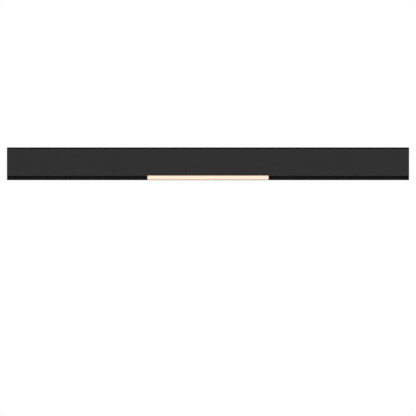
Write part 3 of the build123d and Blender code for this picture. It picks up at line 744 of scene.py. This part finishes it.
@dataclass
class MountingRail(SubAssembly):
    """The rail under the ceiling with its cable grommet and the screw that holds the terminal block."""

    nodes: tuple[str, ...] = ("mounting_rail",)
    bore: float = 4.5  # radius of the grommet's hole, millimetres
    flare: float = 0.7  # how far the hole opens at both ends
    neck: float = 6.9  # radius of the grommet's groove
    foot: float = 7.0  # radius of its lower end
    flange: float = 1.0  # thickness of its upper flange
    plate: float = 2.5  # thickness of the rail's plate
    lip: float = 0.35  # rounding of its edges
    arc: float = 0.3  # how far the middle of a rounding stands in from its corner, as a share
    mouth: float = 1.6  # how wide the hole's cutter opens outside the rubber, against the flare
    sides: int = 64  # of its rounds
    screw: ScrewSize = ScrewSize(2.2, 1.0, 6.5)

    def build(self) -> None:
        """Build the grommet and the terminal block's screw."""
        self.grommet()
        low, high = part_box("terminal_fixing_screw")
        seat = Vector(((low.x + high.x) / 2, 0, high.z))
        ScrewSet("rail_screw", "terminal_fixing_screw", self.body, self.screw, [(seat, UP)]).build()

    def grommet(self) -> None:
        """Turn the rubber grommet with rounded lips and a flared hole."""
        low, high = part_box("cable_grommet")
        radius = (high.x - low.x) / 2
        bore, flare, neck, lip = self.bore * MM, self.flare * MM, self.neck * MM, self.lip * MM
        foot, under, plate = self.foot * MM, high.z - self.flange * MM, -self.plate * MM
        ring = turned([(high.z, radius - lip), (high.z - self.arc * lip, radius - self.arc * lip),
                       (high.z - lip, radius), (under + lip, radius), (under, radius - lip),
                       (under, neck), (plate, neck), (plate, radius - lip), (plate - lip, radius - lip),
                       (low.z + lip, foot), (low.z, foot - lip)], self.sides)
        tidy(ring)
        throat, mouth = bore + self.arc * flare, bore + self.mouth * flare
        hole = turned([(high.z + flare, mouth), (high.z, bore + flare),
                       (high.z - self.arc * flare, throat), (high.z - flare, bore),
                       (low.z + flare, bore), (low.z + self.arc * flare, throat),
                       (low.z, bore + flare), (low.z - flare, mouth)], self.sides)
        tidy(hole)
        carve(ring, hole)
        ring.data.transform(Matrix.Translation(((low.x + high.x) / 2, 0, 0)))
        ring = unite("grommet_ring", [ring])
        edit()
        tidy(ring)
        paint(ring, FINISHES[SLOT_OF["cable_grommet"]])
        settle(ring, self.body, "cable_grommet")


@dataclass
class TrackHousing(SubAssembly):
    """The black extrusion that shows in the room, with its end caps and their screws."""

    nodes: tuple[str, ...] = ("track_housing", "end_cap_left", "end_cap_right")
    screw: ScrewSize = ScrewSize(2.2, 1.0, 14.0, drive=Drive.HEXAGON)

    def build(self) -> None:
        """Build the screws of both end caps."""
        seats = end_seats(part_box("end_cap_screws"), self.screw)
        ScrewSet("cap_screws", "end_cap_screws", self.body, self.screw, seats).build()


class Filling:
    """The electrical parts that stand on a circuit board, with details as shares of their sizes."""

    CAN: Shares = ((0.985, 0.72), (1.0, 0.76), (1.0, 0.86), (0.97, 0.97), (0.93, 1.0), (0.24, 1.0),
                   (0.20, 0.93), (0.16, 0.93), (0.12, 1.0), (0.02, 1.0), (0.0, 0.96))
    CAN_SIDES = 28
    CAN_TOP = 0.98  # height above which faces are the metal top
    CAN_MIDDLE = 0.1  # radius within which that top's centre lies
    SCORE = (1.1, 0.1)  # length and width of a groove in the top, of the radius
    SCORE_HEIGHT = 0.07
    PROUD = 0.07  # winding over its core, of the least side
    WINDING_HALF = 0.27  # from the middle to the winding's end, of the length
    WINDING_FACES = 0.2  # faces nearer to the middle than this are wound, of the length
    SIDEWAYS = 0.5  # a normal with less than this along the length looks sideways
    CORE_ROUND = 0.06  # rounding of its long edges, of the least side
    DRAFT = 0.06  # how much a moulding narrows upwards, of the least side, as the rest below
    BORDER = 0.12  # raised edge around its hollow
    SLOPE = 0.04  # side of that hollow
    HOLLOW = 0.08  # its depth
    CHIP_ROUND = 0.08

    @staticmethod
    def can(radius: float, height: float) -> bpy.types.Object:
        """Turn a capacitor in a shrunk sleeve, with a crimped waist and a scored metal top.

        Args:
            radius: its radius, metres.
            height: its height, metres.

        Returns:
            The capacitor about the origin, standing on z = 0.
        """
        steps = [(high * height, wide * radius) for high, wide in Filling.CAN]
        piece = turned(steps, Filling.CAN_SIDES)
        paint(piece, SLEEVE, FINISHES["nickel"])
        top, centre = Filling.CAN_TOP * height, Filling.CAN_MIDDLE * radius
        pick(piece, faces=lambda middle, normal: middle.z > top and middle.xy.length < centre)
        piece.active_material_index = 1
        bpy.ops.object.material_slot_assign()
        tidy(piece)
        length, width = (share * radius for share in Filling.SCORE)
        for turn in CROSSWISE:
            size = Vector((length, width, Filling.SCORE_HEIGHT * height))
            score = block(Vector((0, 0, height)), size)
            tidy(score)
            score.data.transform(Matrix.Rotation(math.radians(turn), 4, "Z"))
            carve(piece, score)
        return piece

    @staticmethod
    def wound(size: Vector) -> bpy.types.Object:
        """Make a ferrite core with a winding round its middle.

        Args:
            size: its three sides, metres.

        Returns:
            The wound block about the origin, standing on z = 0.
        """
        least = min(size)
        proud = Filling.PROUD * least
        core = Vector((size.x, size.y - 2 * proud, size.z - 2 * proud))
        piece = block(Vector((0, 0, size.z / 2)), core)
        paint(piece, FINISHES["black_parts"], WINDING)
        for end in BOTH:
            bpy.ops.mesh.select_all(action="SELECT")
            bpy.ops.mesh.bisect(plane_co=(end * Filling.WINDING_HALF * size.x, 0, 0), plane_no=(1, 0, 0))
        near, sideways = Filling.WINDING_FACES * size.x, Filling.SIDEWAYS
        pick(piece, faces=lambda middle, normal: abs(middle.x) < near and abs(normal.x) < sideways)
        bpy.ops.mesh.extrude_region_shrink_fatten(
            TRANSFORM_OT_shrink_fatten={"value": proud, "use_even_offset": True})
        piece.active_material_index = 1
        bpy.ops.object.material_slot_assign()
        pick(piece, edges=lambda middle, way: abs(way.x) > ALIGNED)
        bpy.ops.mesh.bevel(offset=Filling.CORE_ROUND * least, segments=3)
        tidy(piece)
        return piece

    @staticmethod
    def chip(size: Vector) -> bpy.types.Object:
        """Make a moulded housing with drafted sides, a raised edge and a hollow in its top.

        Args:
            size: its three sides, metres.

        Returns:
            The housing about the origin, standing on z = 0.
        """
        least = min(size)
        piece = block(Vector((0, 0, size.z / 2)), size)
        paint(piece, FINISHES["black_parts"])
        pick(piece, faces=lambda middle, normal: normal.z > ALIGNED)
        draft = Filling.DRAFT * least
        bpy.ops.transform.resize(value=(1 - draft / size.x, 1 - draft / size.y, 1))
        bpy.ops.mesh.inset(thickness=Filling.BORDER * least, depth=0)
        bpy.ops.mesh.inset(thickness=Filling.SLOPE * least, depth=-Filling.HOLLOW * least)
        pick(piece, edges=lambda middle, way: abs(way.z) > ALIGNED)
        bpy.ops.mesh.bevel(offset=Filling.CHIP_ROUND * least, segments=2)
        tidy(piece)
        return piece


@dataclass
class PowerUnit(SubAssembly):
    """The mains terminal, the driver and their leads in the wiring chamber."""

    nodes: tuple[str, ...] = ("terminal_block", "driver_case", "driver_lid", "driver_board", "driver_pads",
                              "mains_leads", "earth_lead", "earth_lug", "feed_leads", "lead_bush")
    plug_length: float = 8.0  # millimetres
    core_spread: float = 63.0  # between the two wound blocks
    can_spread: float = 126.0  # between the capacitors along the board
    fill: float = 0.9  # plug's share of the width inside the case, as the next three are
    core_depth: float = 0.7
    can_radius: float = 0.2
    can_row: float = 0.25  # from the middle to a row of capacitors
    pole_pitch: float = 6.5  # between the terminal's poles, millimetres
    clamp: ScrewSize = ScrewSize(1.5, 1.5, 5.1, drive=Drive.SLOT, pitch=0.6)
    earth: ScrewSize = ScrewSize(3.0, 1.5, 2.8, 1.5)

    def build(self) -> None:
        """Build the parts on the driver's board, the terminal's clamping screws and the earth screw."""
        self.parts()
        low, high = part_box("terminal_screws")
        middle = (low + high) / 2
        pitch = self.pole_pitch * MM
        seats = [(Vector((middle.x + side * pitch, pole * pitch, low.z)), DOWN)
                 for side in BOTH for pole in (-1, 0, 1)]
        ScrewSet("clamp_screws", "terminal_screws", self.body, self.clamp, seats).build()
        low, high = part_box("earth_screw")
        seat = Vector(((low.x + high.x) / 2, 0, high.z - self.earth.head_height * MM))
        ScrewSet("bonding_screw", "earth_screw", self.body, self.earth, [(seat, UP)]).build()

    def parts(self) -> None:
        """Build plugs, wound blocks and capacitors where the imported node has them."""
        low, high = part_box("driver_components")
        x, height = (low.x + high.x) / 2, high.z - low.z
        width = (high.y - low.y) / self.fill
        plug = Filling.chip(Vector((self.plug_length * MM, high.y - low.y, height)))
        made = pair(plug, x, high.x - low.x - self.plug_length * MM, low.z)
        core = Filling.wound(Vector((width, self.core_depth * width, height)))
        made += pair(core, x, self.core_spread * MM, low.z)
        can = Filling.can(self.can_radius * width, height)
        at, row = self.can_spread * MM / 2, self.can_row * width
        made += repeat(can, [Matrix.Translation((x + end * at, side * row, low.z))
                             for end in BOTH for side in BOTH])
        settle(unite("driver_parts", made), self.body, "driver_components")


@dataclass
class ConductorTrack(SubAssembly):
    """The conductors in their carriers, the keeper strip and the live-end feed."""

    nodes: tuple[str, ...] = ("carrier_front", "carrier_back", "supply_conductors", "data_conductors",
                              "keeper_strip", "feed_connector", "feed_contacts")
    screw: ScrewSize = ScrewSize(2.8, 1.4, 14.1, 1.4)

    def build(self) -> None:
        """Build the two screws of the feed block."""
        low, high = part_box("feed_screws")
        head = self.screw.head * MM
        z = low.z + self.screw.head_height * MM
        seats = [(Vector((x, 0, z)), DOWN) for x in (low.x + head, high.x - head)]
        ScrewSet("feed_block_screws", "feed_screws", self.body, self.screw, seats).build()


@dataclass
class LightModule(SubAssembly):
    """The lit module that slides along the slot."""

    nodes: tuple[str, ...] = ("module_housing", "diffuser", "module_end_left", "module_end_right",
                              "led_board", "converter_board", "adapter_case", "adapter_lid", "magnets",
                              "supply_contacts", "data_contacts", "contact_leads", "led_leads")
    body: str = MODULE
    diodes: int = 42
    diode_length: float = 3.5  # millimetres
    frame_width: float = 0.45  # white rim around the phosphor
    frame_depth: float = 0.22
    frame_slope: float = 0.2  # inner side of the rim, as a share of its width
    diode_round: float = 0.25  # rounding of its upright edges
    end_screw: ScrewSize = ScrewSize(1.7, 0.9, 10.0)
    board_screw: ScrewSize = ScrewSize(2.0, 1.0, 3.6, 1.0)
    adapter_screw: ScrewSize = ScrewSize(2.2, 1.1, 10.25, 1.1)
    adapter_pitch: float = 12.0  # between the screws of one magnet seat
    can_share: float = 0.30  # spread of the converter's capacitors, as a share of its board
    chip_share: float = 0.80  # spread of its switching parts
    part_length: float = 2.0  # of its choke and switching parts, against their height
    can_radius: float = 0.7  # of its capacitors, against their height

    def build(self) -> None:
        """Build the diodes, the converter's parts and the module's screws."""
        self.diode_row()
        self.converter()
        self.screws()

    def diode_row(self) -> None:
        """Make one diode with a rim around its phosphor and set the whole row."""
        low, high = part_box("led_packages")
        size = Vector((self.diode_length * MM, high.y - low.y, high.z - low.z))
        diode = block(Vector((0, 0, size.z / 2)), size)
        paint(diode, FINISHES["white_plastic"], FINISHES["diode"])
        pick(diode, edges=lambda middle, way: abs(way.z) > ALIGNED)
        bpy.ops.mesh.bevel(offset=self.diode_round * MM, segments=2)
        pick(diode, faces=lambda middle, normal: normal.z < -ALIGNED)
        rim = self.frame_width * MM
        bpy.ops.mesh.inset(thickness=rim, depth=0)
        bpy.ops.mesh.inset(thickness=self.frame_slope * rim, depth=-self.frame_depth * MM)
        diode.active_material_index = 1
        bpy.ops.object.material_slot_assign()
        tidy(diode)
        step = (high.x - low.x - size.x) / (self.diodes - 1)
        first = low.x + size.x / 2
        row = repeat(diode, [Matrix.Translation((first + i * step, 0, low.z)) for i in range(self.diodes)])
        settle(unite("diode_row", row), self.body, "led_packages")

    def converter(self) -> None:
        """Build the choke, capacitors and switching parts of the converter."""
        low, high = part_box("converter_components")
        board_low, board_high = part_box("converter_board")
        length, height = board_high.x - board_low.x, high.z - low.z
        long = self.part_length * height
        choke = Filling.wound(Vector((long, long, height)))
        made = repeat(choke, [Matrix.Translation((0, 0, low.z))])
        made += pair(Filling.can(self.can_radius * height, height), 0, self.can_share * length, low.z)
        made += pair(Filling.chip(Vector((long, height, height))), 0, self.chip_share * length, low.z)
        settle(unite("converter_parts", made), self.body, "converter_components")

    def screws(self) -> None:
        """Build the screws of the end plates, the diode board and the adapter."""
        seats = end_seats(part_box("module_end_screws"), self.end_screw)
        ScrewSet("module_screws", "module_end_screws", self.body, self.end_screw, seats).build()
        low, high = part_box("led_board_screws")
        x, y = (corner - self.board_screw.head * MM for corner in high.xy)
        z = low.z + self.board_screw.head_height * MM
        seats = [(Vector((place, side * y, z)), DOWN) for place in (-x, 0, x) for side in BOTH]
        ScrewSet("board_screws", "led_board_screws", self.body, self.board_screw, seats).build()
        low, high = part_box("adapter_screws")
        x, z = high.x - self.adapter_screw.head * MM, low.z + self.adapter_screw.head_height * MM
        places = (x, x - self.adapter_pitch * MM)
        seats = [(Vector((end * place, 0, z)), DOWN) for end in BOTH for place in places]
        ScrewSet("adapter_holding_screws", "adapter_screws", self.body, self.adapter_screw, seats).build()


@dataclass
class Studio:
    """A pale floor, soft light and the camera of the photograph, metres and degrees."""

    elevation: float = -20.5  # the camera looks up at the bar
    width: float = 1.0343  # of the view, across the whole image
    drop: float = 0.1453  # image's middle below the ceiling face, along the image
    distance: float = 1.4
    reach: float = 100.0  # how far the camera sees
    floor_height: float = -1.65
    floor_size: float = 120.0
    backdrop: float = 1.0  # white ground behind the bar
    horizon: float = 0.29  # light from all around, level with the bar
    zenith: float = 0.88  # and from straight above
    overhead: float = 30.0  # watts of the large lamp above
    overhead_height: float = 2.6
    overhead_size: float = 4.0

    def build(self) -> None:
        """Build the studio and look through its camera."""
        self.floor()
        self.surround()
        self.lamp()
        self.camera()
        scene = bpy.context.scene
        scene.view_settings.view_transform = "Standard"
        scene.view_settings.look = "None"
        LOG.info("built the studio")

    def floor(self) -> None:
        """Lay a pale floor well below the bar."""
        deselect()
        bpy.ops.mesh.primitive_plane_add(size=self.floor_size, location=(0, 0, self.floor_height))
        floor = bpy.context.object
        floor.name = "floor"
        paint(floor, FLOOR)

    def surround(self) -> None:
        """Set a white ground for the camera and a softer light that grows towards the top."""
        world = bpy.data.worlds.new("studio")
        world.use_nodes = True
        tree = world.node_tree
        tree.nodes.clear()
        where, split, grow, ground, soft, ray, mix, out = (tree.nodes.new("ShaderNode" + kind) for kind in (
            "TexCoord", "SeparateXYZ", "MapRange", "Background", "Background", "LightPath", "MixShader",
            "OutputWorld"))
        for light in (ground, soft):
            light.inputs["Color"].default_value = (1, 1, 1, 1)
        ground.inputs["Strength"].default_value = self.backdrop
        grow.inputs["To Min"].default_value = self.horizon
        grow.inputs["To Max"].default_value = self.zenith
        for source, target in ((where.outputs["Generated"], split.inputs[0]),
                               (split.outputs["Z"], grow.inputs["Value"]),
                               (grow.outputs[0], soft.inputs["Strength"]),
                               (ray.outputs["Is Camera Ray"], mix.inputs[0]),
                               (soft.outputs[0], mix.inputs[1]), (ground.outputs[0], mix.inputs[2]),
                               (mix.outputs[0], out.inputs["Surface"])):
            tree.links.new(source, target)
        bpy.context.scene.world = world

    def lamp(self) -> None:
        """Hang one large soft lamp above."""
        bpy.ops.object.light_add(type="AREA", location=(0, 0, self.overhead_height))
        lamp = bpy.context.object
        lamp.name = "overhead"
        lamp.data.shape = "SQUARE"
        lamp.data.size = self.overhead_size
        lamp.data.energy = self.overhead

    def camera(self) -> None:
        """Place the camera square on to the bar, below it."""
        tilt = math.radians(-self.elevation)
        look = Vector((0, math.cos(tilt), math.sin(tilt)))
        up = Vector((0, -math.sin(tilt), math.cos(tilt)))
        bpy.ops.object.camera_add(location=-self.distance * look - self.drop * up,
                                  rotation=(math.pi / 2 + tilt, 0, 0))
        camera = bpy.context.object
        camera.data.type = "ORTHO"
        camera.data.ortho_scale = self.width
        camera.data.clip_end = self.reach
        bpy.context.scene.camera = camera


def main() -> None:
    """Build the bar's groups in order, then the studio."""
    logging.basicConfig(level=logging.INFO, format="%(message)s", force=True)
    for group in (MountingRail(), TrackHousing(), PowerUnit(), ConductorTrack(), LightModule()):
        group.dress()
        group.build()
    Studio().build()


if __name__ == "__main__":
    main()
